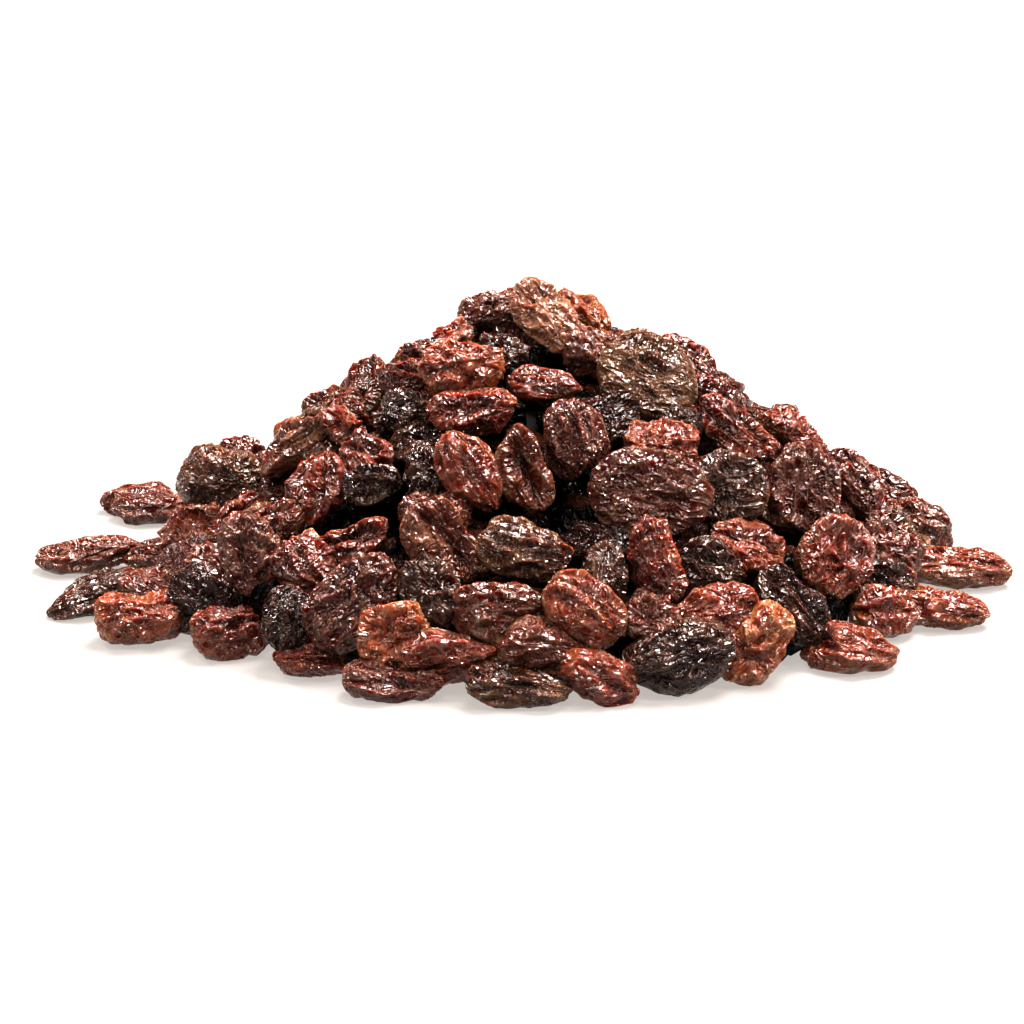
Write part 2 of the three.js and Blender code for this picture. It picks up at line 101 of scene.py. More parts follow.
# Of the solid's raisins, thick: share of the width. hollow: sunk faces. bend: curl sideways. taper: slimmer
# end. dents: how many. Only drawn, lengthways: how much longer than wide the wrinkles run. folds: their
# height, as a share of the common one. groove: depth in mm of a crease along the upper face. blunt: wider
# ends. lying: height left on the table, as a share. pinch: how strongly the folds meet at both ends.
forms = dict(
    pod=dict(thick=0.7, hollow=0.05, bend=0.05, taper=0.14, dents=5,
             lengthways=2.4, folds=1.0, groove=0.4, blunt=0.08, lying=0.76, pinch=0.45),
    disc=dict(thick=0.5, hollow=0.4, bend=0.04, taper=0.04, dents=2,
              lengthways=1.3, folds=0.8, groove=0.3, blunt=0.22, lying=0.9, pinch=0.12),
    bean=dict(thick=0.6, hollow=0.16, bend=0.28, taper=0.06, dents=4,
              lengthways=1.8, folds=0.9, groove=1.3, blunt=0.15, lying=0.85, pinch=0.35),
    lump=dict(thick=0.78, hollow=0.1, bend=0.1, taper=0.08, dents=6,
              lengthways=1.2, folds=1.0, groove=0, blunt=0.28, lying=0.93, pinch=0.2),
    flat=dict(thick=0.52, hollow=0.12, bend=0.06, taper=0.1, dents=5,
              lengthways=2.4, folds=0.9, groove=0.4, blunt=0.08, lying=0.85, pinch=0.45),
    curl=dict(thick=0.66, hollow=0.3, bend=0.42, taper=0.02, dents=4,
              lengthways=2.0, folds=0.8, groove=2.0, blunt=0.15, lying=0.85, pinch=0.4),
)
# A dent: its depth as a share of the radius, and its edge as a cosine from its middle. A sunk face begins
# where the direction's upright part is sunkFrom, and a bend leaves bendMiddle where it was.
dent = dict(depth=(0.08, 0.28), edge=(0.35, 0.7), sunkFrom=0.35, bendMiddle=0.4)
fillForms = ["pod", "lump", "flat", "pod", "disc", "bean"]
fillTones = ["russet", "plum", "cocoa", "plum", "garnet", "coal", "olive", "plum", "amber", "cocoa"]

# One raisin of the front on each line:
# across, up, long, wide, turn, lean, lift, form, tone
crown = [
    (3.5, 36.7, 12, 8, -10, 0, 0, "lump", "plum"),
    (5.5, 31.7, 14.5, 8.8, -52, 30, 1, "disc", "tan"),
    (10.8, 33.5, 12.5, 8.2, -45, 20, 0, "pod", "amber"),
    (-4, 33, 11, 9.6, 10, 20, 0.5, "lump", "plum"),
    (-10, 30.3, 8.5, 6.5, 30, 10, 0, "lump", "russet"),
    (16.5, 29.7, 11, 7, -18, 0, 0, "flat", "cocoa"),
    (13.3, 26.3, 9, 6.5, -30, 0, 0, "lump", "plum"),
    (21.3, 21, 16, 14.5, -20, 30, 1, "disc", "olive"),
    (29.3, 24.8, 11.5, 8, -38, 10, 0, "pod", "plum"),
    (-7.8, 23.2, 15, 10.5, 3, 25, 1.5, "lump", "amber"),
    (-6.7, 16.7, 13.5, 9, 8, 25, 1, "pod", "russet"),
    (5.7, 21.8, 11.5, 8, -10, 0, 0, "flat", "russet"),
    (-15.2, 26.7, 8, 6, 20, 0, 0, "lump", "plum"),
    (-18.7, 22.3, 9.5, 7.5, 5, 10, 0, "pod", "plum"),
    (-24.7, 20.7, 13, 7, 72, 20, 0, "bean", "cocoa"),
    (-2, 27, 9, 6.5, 0, 0, 0, "lump", "coal"),
]
leftFlank = [
    (-18.3, 16.3, 11, 7.5, -6, 10, 0, "lump", "coal"),
    (-16.7, 12.3, 11, 7, 5, 0, -1, "flat", "coal"),
    (-31.7, 18.3, 10.5, 7, 6, 0, 0, "flat", "cocoa"),
    (-27.8, 17, 8, 6, -10, 0, 0, "pod", "cocoa"),
    (-36, 16, 9.5, 6.5, 25, 0, 1.5, "pod", "amber"),
    (-28.2, 15, 8, 6, -25, 0, 0, "lump", "russet"),
    (-36, 11, 14, 8.5, 38, 15, 0.5, "pod", "cocoa"),
    (-46, 11.2, 11.5, 8, -22, 0, 0, "lump", "plum"),
    (-46.7, 3.2, 17, 11.8, -8, 20, 3, "lump", "olive"),
    (-52.8, -2.7, 12.5, 9, -30, 10, 0, "lump", "russet"),
    (-50.7, -9, 10, 7.5, -15, 0, 0, "lump", "plum"),
    (-42.7, -8.7, 13, 9.5, -68, 50, 1.5, "disc", "plum"),
    (-38.5, -1.5, 9.5, 7, 38, 10, 0, "lump", "cocoa"),
    (-34, -9.3, 14, 9.5, -52, 20, 0, "pod", "russet"),
    (-31.5, 3, 12.5, 7, 86, 35, 1, "pod", "russet"),
    (-34.7, 3.3, 10.5, 6, 84, 30, 0, "pod", "russet"),
    (-27.3, -4.3, 12, 7, 12, 20, 1, "curl", "russet"),
    (-23.7, 9.3, 11, 7, -25, 20, 0.5, "bean", "russet"),
    (-23, 5.5, 10.5, 7.5, -3, 0, 0, "pod", "coal"),
]
middle = [
    (-14.5, 5.3, 10, 8, 88, 20, 0, "lump", "coal"),
    (-13, 0.5, 11, 7.5, -10, 0, 0, "lump", "plum"),
    (-11.3, -5.8, 16, 9.5, -46, 30, 1.5, "bean", "cocoa"),
    (-6.8, 5.7, 13.5, 9, -60, 30, 1, "pod", "russet"),
    (2.5, 6.3, 14, 7.5, -68, 30, 0.5, "curl", "cocoa"),
    (10.7, 10.8, 14, 9.5, -78, 35, 1, "pod", "plum"),
    (3.7, -7.3, 16.5, 10, -13, 10, 1, "pod", "olive"),
    (22, 1.3, 18.5, 13.5, -12, 35, 1.5, "disc", "plum"),
    (24.8, 11, 12.5, 8.5, -5, 15, 0, "lump", "russet"),
    (-12.8, -13.3, 11.5, 9, -60, 10, 0, "lump", "coal"),
    (-2, -16.7, 13.5, 10, 0, 10, 0, "pod", "plum"),
    (13.3, -16.5, 14.5, 9.5, -38, 20, 0, "pod", "russet"),
    (16.7, -10, 10, 7, 80, 10, 0, "pod", "coal"),
    (22.3, -9.3, 13.5, 9.5, -66, 30, 0.5, "lump", "russet"),
    (-25.8, -15.7, 17, 11.8, 35, 25, 1, "disc", "plum"),
]
rightFlank = [
    (35, 3.3, 13.5, 12, 10, 35, 0.5, "disc", "olive"),
    (37.5, 13.7, 14, 8.5, -33, 20, 1, "bean", "russet"),
    (35, 19.3, 11.5, 7, -30, 0, 0, "pod", "plum"),
    (28.3, 15.7, 8, 6, 0, 0, 0, "lump", "coal"),
    (46.3, 13.2, 13, 9, -20, 0, 0, "lump", "russet"),
    (56.7, 5, 16, 11, -55, 10, 0, "pod", "plum"),
    (48, 3.5, 14, 11, 82, 45, 1, "disc", "plum"),
    (53.3, -8, 13, 11.5, 55, 35, 1, "disc", "russet"),
    (40, -6.2, 12.5, 8.5, -18, 10, 0.5, "bean", "russet"),
    (32.3, -10, 11, 9.5, -12, 10, 0, "pod", "coal"),
    (34, -16.7, 14.5, 9.5, 12, 10, 0.5, "pod", "russet"),
    (23.8, -17.7, 9.5, 8, -20, 0, 0, "lump", "plum"),
    (47.2, -15.5, 14.5, 9.5, -52, 20, 0, "pod", "coal"),
]
foot = [
    (-61.2, 4.2, 13, 9, 25, 25, 0, "pod", "plum"),
    (-63, -0.5, 12.5, 9.5, 0, 25, 0, "pod", "plum"),
    (-72.7, -6.3, 17.5, 9.5, 8, 25, 0, "pod", "plum"),
    (-59.5, -8.2, 12.5, 9, 10, 25, 0, "pod", "plum"),
    (-70.7, -14.3, 16, 9, 27, 25, 0, "pod", "coal"),
    (-63.5, -17.5, 13.5, 11, 15, 25, 0, "lump", "amber"),
    (-51.3, -15.5, 12.5, 10.5, -20, 25, 0, "pod", "coal"),
    (-46, -21.5, 12.5, 10.5, 12, 25, 0, "lump", "russet"),
    (-37, -17.3, 10.5, 8.5, 80, 25, 0, "pod", "coal"),
    (-34.5, -26, 12, 8.5, 1, 25, 0, "pod", "russet"),
    (-19.3, -20, 11, 9.5, 18, 25, 0, "lump", "amber"),
    (-20.3, -29, 14.5, 8.5, -8, 25, 0, "pod", "plum"),
    (-10.8, -25.2, 15, 9, 8, 25, 0, "pod", "russet"),
    (1, -29, 15, 10.5, -5, 25, 0, "pod", "olive"),
    (6, -23.3, 13.5, 9, -3, 25, 0, "pod", "cocoa"),
    (14.5, -28.3, 11.5, 9, -8, 25, 0, "pod", "russet"),
    (26.7, -25.5, 17, 11, 10, 25, 0, "pod", "coal"),
    (41.3, -23.7, 15, 9, 45, 25, 0, "lump", "amber"),
    (56.3, -22.7, 14.5, 10.5, -8, 25, 0, "pod", "russet"),
    (61, -18, 12.5, 9, -3, 25, 0, "pod", "russet"),
    (63.5, -6.8, 11, 8.5, -12, 25, 0, "lump", "plum"),
    (62.7, -11.7, 10.5, 8, -15, 25, 0, "pod", "coal"),
    (71.3, -15.7, 15.5, 10, -8, 25, 0, "pod", "russet"),
    (75.8, -10.2, 17, 10.5, -8, 25, 0, "pod", "russet"),
    (70, -2.2, 12.5, 10.5, -20, 25, 0, "lump", "plum"),
    (65.3, 3.5, 12, 9, -38, 25, 0, "pod", "plum"),
]


# A stream of numbers from 0 to 1, the same each time for the same seed.
def drawFrom(seed):
    state = [(seed * 7919 + 104729) % 2147483647]

    def draw():
        state[0] = state[0] * 16807 % 2147483647
        return state[0] / 2147483647

    return draw


def unit(vector):
    return vector / max(1e-12, np.linalg.norm(vector))


# A vector turned about a unit axis: v cos a + (axis x v) sin a + axis (axis . v) (1 - cos a).
def turned(vector, axis, angle):
    along = axis * (axis @ vector) * (1 - math.cos(angle))
    return vector * math.cos(angle) + np.cross(axis, vector) * math.sin(angle) + along


# Height of the bed: the peak's height times 1 minus a power of the share of the foot's radius.
def bedHeight(radius):
    return heap["peakHeight"] * (1 - (radius / heap["footRadius"]) ** heap["steepness"])


def bedSlope(radius):
    power = heap["steepness"]
    share = (radius / heap["footRadius"]) ** (power - 1)
    return heap["peakHeight"] * power * share / heap["footRadius"]


def smoothStep(low, high, value):
    t = np.clip((value - low) / (high - low), 0, 1)
    return t * t * (3 - 2 * t)


# How much nearer to the middle the foot lies: 1, and more at the left behind.
def narrowing(x, y):
    share = smoothStep(heap["roundBefore"], heap["narrowFrom"], np.asarray(y))
    return np.where(np.asarray(x) < 0, 1 + (heap["narrowLeft"] - 1) * share, 1)


# Height of the bed over a place on the table.
def bedAt(x, y):
    return bedHeight(np.hypot(x * narrowing(x, y), y))


def bedNormal(x, y, onTable):
    if onTable:
        return np.array([0.0, 0.0, 1.0])
    return unit(np.array([bedAt(x - 0.5, y) - bedAt(x + 0.5, y), bedAt(x, y - 0.5) - bedAt(x, y + 0.5), 1.0]))


sightRight = np.array([1.0, 0.0, 0.0])
sightUp = np.array([0, math.sin(sight["drop"]), math.cos(sight["drop"])])
toEye = np.array([0, -math.cos(sight["drop"]), math.sin(sight["drop"])])
eye = np.array(sight["target"], float) + toEye * sight["distance"]


# Where the line of sight through (across, up) first meets the bed, or the height of a raisin on the table.
def whereSeen(across, up, restHeight):
    through = np.array(sight["target"], float) + sightRight * across + sightUp * up
    ray = unit(through - eye)
    reach = 2 * heap["footRadius"]
    steps = np.arange(sight["distance"] - reach, sight["distance"] + reach, sight["step"])
    points = eye + steps[:, None] * ray
    points = points[points[:, 1] < sight["farthest"]]
    bed = bedAt(points[:, 0], points[:, 1])
    gap = points[:, 2] - np.maximum(bed, restHeight)
    met = np.nonzero(gap <= 0)[0]
    found = met[0] if len(met) else int(np.argmin(gap))
    return points[found], bool(bed[found] < restHeight)


# A raisin's own axes: its length shows along turn, and its broad side is tipped from the bed to the eye.
def axesFor(normal, turn, lean, depthShare):
    thin = normal.copy()
    hinge = np.cross(thin, toEye)
    if np.linalg.norm(hinge) > 1e-6:
        thin = turned(thin, unit(hinge), math.radians(lean))
    angle = math.radians(turn)
    long = sightRight * math.cos(angle) + sightUp * math.sin(angle)
    towards = -(long @ thin) / max(heap["leastFacing"], toEye @ thin)
    long = unit(long + toEye * min(depthShare, max(-depthShare, towards)))
    thin = unit(thin - long * (thin @ long))
    return np.array([long, np.cross(thin, long), thin])


def placedRaisin(row, seed):
    across, up, length, width, turn, lean, lift, form, tone = row
    long = length * heap["rowSwell"]
    wide = width * heap["rowSwell"]
    restHeight = wide * forms[form]["thick"] / 2 * heap["restShare"]
    point, onTable = whereSeen(across, up, restHeight)
    normal = bedNormal(point[0], point[1], onTable)
    axes = axesFor(normal, turn, lean, heap["depthOnTable" if onTable else "depthOnBed"])
    middleAt = point + normal * (0 if onTable else lift)
    return dict(middle=middleAt, axes=axes, long=long, wide=wide, form=form, tone=tone,
                seed=seed, onTable=onTable, bySight=True)


def between(span, share):
    return span[0] + (span[1] - span[0]) * share


# A raisin of the rule: flat on the bed or the table, turned any way, tipped a little.
def ruledRaisin(x, y, sunk, seed):
    draw = drawFrom(seed)
    form = fillForms[int(draw() * len(fillForms))]
    long = between(heap["fillLong"], draw())
    wide = long * between(heap["fillWide"], draw())
    restHeight = wide * forms[form]["thick"] * heap["restShare"] / 2
    bed = float(bedAt(x, y))
    onTable = bed < restHeight
    normal = bedNormal(x, y, onTable)
    tip = np.array([draw() - 0.5, draw() - 0.5, draw() - 0.5])
    thin = unit(normal + tip * heap["tipOnTable" if onTable else "tipOnBed"])
    side = np.array([draw() - 0.5, draw() - 0.5, draw() - 0.5])
    lengthways = unit(side - thin * (side @ thin))
    middleAt = np.array([x, y, max(bed, restHeight)])
    if not onTable:
        middleAt = middleAt - normal * sunk
    axes = np.array([lengthways, np.cross(thin, lengthways), thin])
    tone = fillTones[int(draw() * len(fillTones))]
    return dict(middle=middleAt, axes=axes, long=long, wide=wide, form=form, tone=tone,
                seed=seed, onTable=onTable, bySight=False)


def isInFront(x, y):
    return -y > heap["frontWedge"] * abs(x)


# Courses of raisins from the foot up, wherever no other lies, and loose ones behind the foot.
# Those of the front lie deeper, and those in its gaps take the near-black shade tone, painted shade, so that
# the gaps show dark.
def addRuled(raisins):
    draw = drawFrom(seeds["rule"])

    def tryAt(x, y, sunk):
        made = ruledRaisin(x, y, sunk, seeds["ruled"] + len(raisins))
        # painted shade: a sunk raisin in a front gap takes the near-black shade tone
        if sunk == heap["sunkInFront"] and isInFront(x, y):
            made["tone"] = heap["toneInGaps"]
        far = [np.linalg.norm(other["middle"] - made["middle"]) for other in raisins]
        if min(far) >= heap["clearOfOther"]:
            raisins.append(made)

    def ring(radius, step, scatter):
        count = max(1, int(2 * math.pi * radius / step + 0.5))
        start = draw()
        for i in range(count):
            azimuth = 2 * math.pi * (i + start + heap["ringScatter"] * (draw() - 0.5)) / count
            out = radius + scatter * (draw() - 0.5)
            x, y = out * math.cos(azimuth), out * math.sin(azimuth)
            sunk = heap["sunkInFront"] if y < heap["frontOfRule"] else draw()
            if radius < heap["footRadius"] or y > heap["frontOfStrays"]:
                tryAt(x / float(narrowing(x, y)), y, sunk)

    radius = heap["footRadius"] - heap["belowFoot"]
    while radius > heap["courseStep"] / 2:
        ring(radius, heap["raisinStep"], heap["courseScatter"])
        radius -= heap["courseStep"] / math.hypot(1, bedSlope(radius))
    ring(0.1, heap["raisinStep"], 0)
    ring(heap["strayRing"], heap["strayStep"], heap["strayScatter"])


def sizeOf(raisin):
    return np.array([raisin["long"], raisin["wide"], raisin["wide"] * forms[raisin["form"]]["thick"]])


# How far a raisin reaches from its middle in a direction.
def reachOf(raisin, direction):
    return 0.5 / np.linalg.norm(raisin["axes"] @ direction / sizeOf(raisin))


# Raisins that lie too deep in each other move apart along the line between their middles, and where the
# front is placed by sight also along the sight line. None goes below its height on the table.
def settle(raisins):
    middles = np.array([r["middle"] for r in raisins])
    axes = np.array([r["axes"] for r in raisins])
    sizes = np.array([sizeOf(r) for r in raisins])
    bySight = np.array([r["bySight"] for r in raisins])
    onTable = np.array([r["onTable"] for r in raisins])
    lowest = np.linalg.norm(sizes * axes[:, :, 2], axis=1) / 2 * heap["restShare"]
    first, second = np.triu_indices(len(raisins), 1)
    sighted = (bySight[first] | bySight[second])[:, None]
    for _ in range(heap["settleRounds"]):
        line = middles[second] - middles[first]
        distance = np.linalg.norm(line, axis=1)
        line = line / distance[:, None]
        reach = 0
        for which in (first, second):
            within = np.einsum("nij,nj->ni", axes[which], line) / sizes[which]
            reach = reach + 0.5 / np.linalg.norm(within, axis=1)
        deep = np.maximum(0, reach - heap["touching"] - distance)
        side = np.where(line @ toEye < 0, -1, 1)[:, None]
        seen = line * (1 - heap["alongSight"]) + toEye * side * heap["alongSight"]
        push = np.where(sighted, seen, line) * (deep * heap["settleShare"])[:, None]
        moves = np.zeros_like(middles)
        np.add.at(moves, first, -push)
        np.add.at(moves, second, push)
        moves[onTable, 2] = 0
        middles = middles + moves
        middles[:, 2] = np.maximum(middles[:, 2], lowest)
    for raisin, middleAt in zip(raisins, middles):
        raisin["middle"] = middleAt


def dentsOf(raisin):
    draw = drawFrom(raisin["seed"] + seeds["dents"])
    dents = []
    for _ in range(forms[raisin["form"]]["dents"]):
        z = 2 * draw() - 1
        azimuth = 2 * math.pi * draw()
        flat = math.sqrt(1 - z * z)
        at = np.array([flat * math.cos(azimuth), flat * math.sin(azimuth), z])
        dents.append((at, between(dent["depth"], draw()), between(dent["edge"], draw())))
    return dents


# The plain skin in a raisin's own axes: an ellipsoid with broad dents, sunk faces, a slimmer end and a bend.
def skinPoints(directions, raisin):
    form = forms[raisin["form"]]
    out = np.ones(len(directions))
    for at, depth, edge in dentsOf(raisin):
        out -= depth * smoothStep(edge, 1, directions @ at)
    out -= form["hollow"] * smoothStep(dent["sunkFrom"], 1, np.abs(directions[:, 2]))
    x = directions[:, 0] * out
    slim = 1 - form["taper"] * x
    y = directions[:, 1] * out * slim + form["bend"] * (x * x - dent["bendMiddle"])
    z = directions[:, 2] * out * slim
    return np.stack([x, y, z], 1) * sizeOf(raisin) / 2


# Unit directions on rings round the long axis, with a pole at each end, and the faces between them:
# (cos t, sin t cos p, sin t sin p) for t from pole to pole and p round the axis.
def ballGrid(around, along):
    theta = np.pi * np.arange(1, along) / along
    phi = 2 * np.pi * np.arange(around) / around
    t, p = np.meshgrid(theta, phi, indexing="ij")
    rings = np.stack([np.cos(t), np.sin(t) * np.cos(p), np.sin(t) * np.sin(p)], -1).reshape(-1, 3)
    directions = np.vstack([[1, 0, 0], rings, [-1, 0, 0]])
    i, j = np.meshgrid(np.arange(along - 2), np.arange(around), indexing="ij")
    here = 1 + i * around + j
    beside = 1 + i * around + (j + 1) % around
    quads = np.stack([here, here + around, beside + around, beside], -1).reshape(-1, 4)
    ring = np.arange(around)
    nextOn = (ring + 1) % around
    lastRing = 1 + (along - 2) * around
    start = np.stack([0 * ring, 1 + ring, 1 + nextOn], 1)
    end = np.stack([0 * ring + len(directions) - 1, lastRing + nextOn, lastRing + ring], 1)
    return directions, quads, np.vstack([start, end])


# A raisin of the bed that hardly reaches the core is pressed down until it does.
def pressIn(raisin):
    x, y = raisin["middle"][:2]
    normal = bedNormal(x, y, False)
    bed = np.array([x, y, bedAt(x, y)])
    directions = ballGrid(6 if raisin["bySight"] else 5, 4)[0]
    corners = skinPoints(directions, raisin) * heap["fewSidesSwell"] @ raisin["axes"] + raisin["middle"]
    short = heap["coreDepth"] + heap["intoCore"] - np.max((bed - corners) @ normal)
    if short > 0:
        raisin["middle"] = raisin["middle"] - normal * short


def beyondCore(raisin):
    x, y = raisin["middle"][:2]
    return math.hypot(x * narrowing(x, y), y) > heap["coreRim"] - heap["rimMargin"]


# A raisin rolls over the table until it is pressed into another: how far that shows from the front, and
# where it ends. across: 1 is straight to the other, less is more in depth, which shows less.
def rolledTo(raisin, other, across):
    middle = raisin["middle"]
    for _ in range(heap["rollSteps"]):
        line = other["middle"] - middle
        distance = np.linalg.norm(line)
        line = line / distance
        gap = distance - reachOf(raisin, line) - reachOf(other, line) + heap["rolledIn"]
        if gap < heap["rollDone"]:
            break
        middle = middle + unit(line * np.array([across, 1, 0])) * gap
    shift = middle - raisin["middle"]
    shown = math.hypot(shift[0], shift[1] * heap["depthShows"])
    return (shown if gap < heap["rollMissed"] else math.inf), middle


# Raisins beyond the core join the heap one by one, the one that has to roll least first.
def snuggle(raisins):
    joined = [r for r in raisins if not beyondCore(r)]
    loose = [r for r in raisins if beyondCore(r)]
    for raisin in loose:
        raisin["roll"] = (math.inf, None)

    def offer(raisin, other):
        if np.linalg.norm(other["middle"] - raisin["middle"]) > heap["rollFrom"]:
            return
        for across in heap["rollAcross"]:
            shown, middle = rolledTo(raisin, other, across)
            if shown < raisin["roll"][0]:
                raisin["roll"] = (shown, middle)

    for raisin in loose:
        for other in joined:
            offer(raisin, other)
    while loose:
        raisin = min(loose, key=lambda one: one["roll"][0])
        raisin["middle"] = raisin["roll"][1]
        loose = [r for r in loose if r is not raisin]
        for other in loose:
            offer(other, raisin)


raisins = [placedRaisin(row, i + 1) for i, row in
           enumerate(crown + leftFlank + middle + rightFlank + foot)]
addRuled(raisins)
settle(raisins)
for raisin in raisins:
    if not raisin["onTable"]:
        pressIn(raisin)
snuggle(raisins)
print("raisins laid:", len(raisins))


# The raisins under the outer ones: courses of the rule, sunk in the bed. In front they are painted dark in
# the gaps as painted shade, but for their tops, which get painted light (topFrom, topFull: how far up these
# face), and elsewhere they lie higher and fill the gaps. dark, topLight: how much painted shade and painted
# top light, in steps of the rim's painted glow.
beneath = dict(sunk=6.2, sunkAway=4.4, sunkScatter=0.3, foot=62, nearest=2, fewest=3, courseStep=8,
               raisinStep=9.5, scatter=3, ringScatter=0.4, topFrom=0.78, topFull=0.96, dark=1, topLight=3.4)


def raisinsBeneath():
    draw = drawFrom(seeds["beneath"])
    found = []
    radius = beneath["foot"]
    while radius > beneath["nearest"]:
        count = max(beneath["fewest"], int(2 * math.pi * radius / beneath["raisinStep"] + 0.5))
        start = draw()
        for i in range(count):
            azimuth = 2 * math.pi * (i + start + beneath["ringScatter"] * (draw() - 0.5)) / count
            out = radius + beneath["scatter"] * (draw() - 0.5)
            x, y = out * math.cos(azimuth), out * math.sin(azimuth)
            inFront = isInFront(x, y)
            sunk = beneath["sunk" if inFront else "sunkAway"]
            sunk *= 1 + beneath["sunkScatter"] * (draw() - 0.5)
            made = ruledRaisin(x / float(narrowing(x, y)), y, sunk, seeds["ruledBeneath"] + len(found))
            made["inFront"] = inFront
            made["middle"][2] = max(made["middle"][2], made["wide"] / 2)
            found.append(made)
        radius -= beneath["courseStep"] / math.hypot(1, bedSlope(radius))
    return found


gradients = np.random.default_rng(seeds["slopes"]).normal(size=(256, 3))
gradients /= np.linalg.norm(gradients, axis=1)[:, None]
shuffled = np.random.default_rng(seeds["shuffle"]).permutation(256)


# Gradient noise from about -1 to 1: each lattice corner has a slope, blended by a smooth curve.
def cloudNoise(points):
    cell = np.floor(points).astype(np.int64)
    part = points - cell
    blend = part * part * part * (part * (part * 6 - 15) + 10)
    total = np.zeros(len(points))
    for corner in np.ndindex(2, 2, 2):
        at = cell + corner
        key = shuffled[(at[:, 0] + shuffled[(at[:, 1] + shuffled[at[:, 2] & 255]) & 255]) & 255]
        slope = (gradients[key] * (part - corner)).sum(1)
        share = np.where(np.array(corner) == 1, blend, 1 - blend).prod(1)
        total += slope * share
    return total * 1.6


# Folds of four sizes, in mm: how far apart they run and how high they stand, and below 0 a valley. sharp:
# width of the crest as a share of the noise. shade: how much lighter the crest is painted, a painted
# highlight, and below 0 how much darker, painted shade in the valley. onRim: the share of the height that is
# left at the outline. swirl: how far the folds wander, in waves of swirlStep. A groove's width, end and upper
# side are shares of the raisin's width, length and thickness. grooveShade: how much darker the groove is
# painted, painted shade.
wrinkle = dict(
    folds=[dict(step=5, height=1.1, sharp=0.22, shade=0.5, onRim=0.65),
           dict(step=3.6, height=-0.5, sharp=0.13, shade=-0.4, onRim=0.6),
           dict(step=2.4, height=0.55, sharp=0.15, shade=0.3, onRim=0.5),
           dict(step=1.3, height=0.4, sharp=0.18, shade=0.2, onRim=0.4)],
    crest=0.5,
    facet=0.9,
    level=0.12,
    swirl=0.55,
    swirlStep=4,
    shift=90,
    rim=(0.15, 0.7),
    grooveWidth=0.13,
    grooveEnd=0.42,
    grooveUpper=0.25,
    grooveWave=5,
    grooveShade=0.4,
)


# Coordinates in which the folds run lengthways and meet at both ends: across the length, a point's distance
# from the middle line is drawn out near the ends, as (mean radius / radius) to the power of pinch.
def foldSpace(local, sizes, pinch):
    radius = np.maximum(0.05, np.linalg.norm(local[:, 1:], axis=1))
    share = (np.sqrt(sizes[:, 1] * sizes[:, 2]) / 2 / radius) ** pinch
    return local * np.stack([np.ones(len(local)), share, share], 1)


# Folds of the skin: a thin crest wherever a noise crosses zero and a hollow facet between two crests, as
# crest exp(-(noise / sharp)^2) - facet |noise| + level, four times from broad to fine, and run lengthways.
def foldsOf(own, lengthways, rim):
    stretched = own * np.stack([1 / lengthways, np.ones(len(own)), np.ones(len(own))], 1)
    swirl = stretched / wrinkle["swirlStep"]
    warp = np.stack([cloudNoise(swirl + 11), cloudNoise(swirl + 37), cloudNoise(swirl + 71)], 1)
    height = np.zeros(len(own))
    foldShade = np.zeros(len(own))
    for i, one in enumerate(wrinkle["folds"]):
        noise = cloudNoise(stretched / one["step"] + warp * wrinkle["swirl"] + 19 * i)
        crest = np.exp(-(noise / one["sharp"]) ** 2)
        profile = wrinkle["crest"] * crest - wrinkle["facet"] * np.abs(noise) + wrinkle["level"]
        height += one["height"] * profile * (1 - (1 - one["onRim"]) * rim)
        # painted highlight on the crests of the folds and painted shade on the valleys
        foldShade += crest * one["shade"]
    return height, foldShade


# The drawn raisins are blunter than an ellipsoid: across, each ring is wider by a share of x squared.
def bluntEnds(directions, blunt):
    wider = 1 + blunt * directions[:, 0] ** 2
    return np.stack([np.ones(len(directions)), wider, wider], 1)


# A crease along the middle of the upper face: depth exp(-(y / width)^2) (1 - (x / end)^4), upper side only.
def grooveAt(local, sizes, depth):
    across = local[:, 1] / (wrinkle["grooveWidth"] * sizes[:, 1])
    ends = np.clip(1 - (local[:, 0] / (wrinkle["grooveEnd"] * sizes[:, 0])) ** 4, 0, 1)
    upper = smoothStep(0, wrinkle["grooveUpper"], local[:, 2] / sizes[:, 2])
    return depth * np.exp(-across ** 2) * ends * upper


